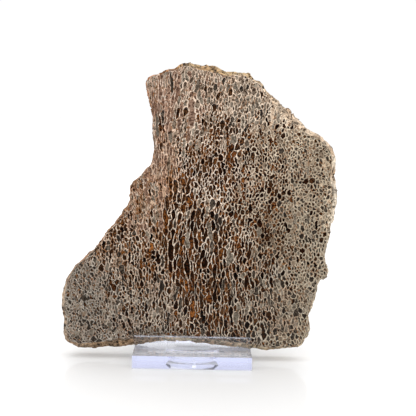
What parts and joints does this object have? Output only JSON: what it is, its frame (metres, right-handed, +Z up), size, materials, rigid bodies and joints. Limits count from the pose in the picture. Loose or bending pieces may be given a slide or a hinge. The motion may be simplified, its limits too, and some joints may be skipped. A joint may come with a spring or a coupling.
{
  "type": "polished fossil bone slice on a stand",
  "caption": "Polished slice of fossil bone with an irregular outline and an open spongy grain, leaning in a small clear moulded stand.",
  "frame": {"origin": "on the surface that the stand rests on, under the middle of the whole object's box", "axes": "+Z up, the polished face looks towards -Y and leans back 7 degrees, +X to the viewer's right"},
  "size_m": [0.1208, 0.0508, 0.13],
  "materials": {
    "fossil_bone": "polished face, rough broken rim",
    "clear_plastic": "clear, polished, faint lavender edges"
  },
  "bodies": {
    "root": {"fossil_bone_slice": "fossil_bone", "clear_stand": "clear_plastic"}
  },
  "joints": []
}
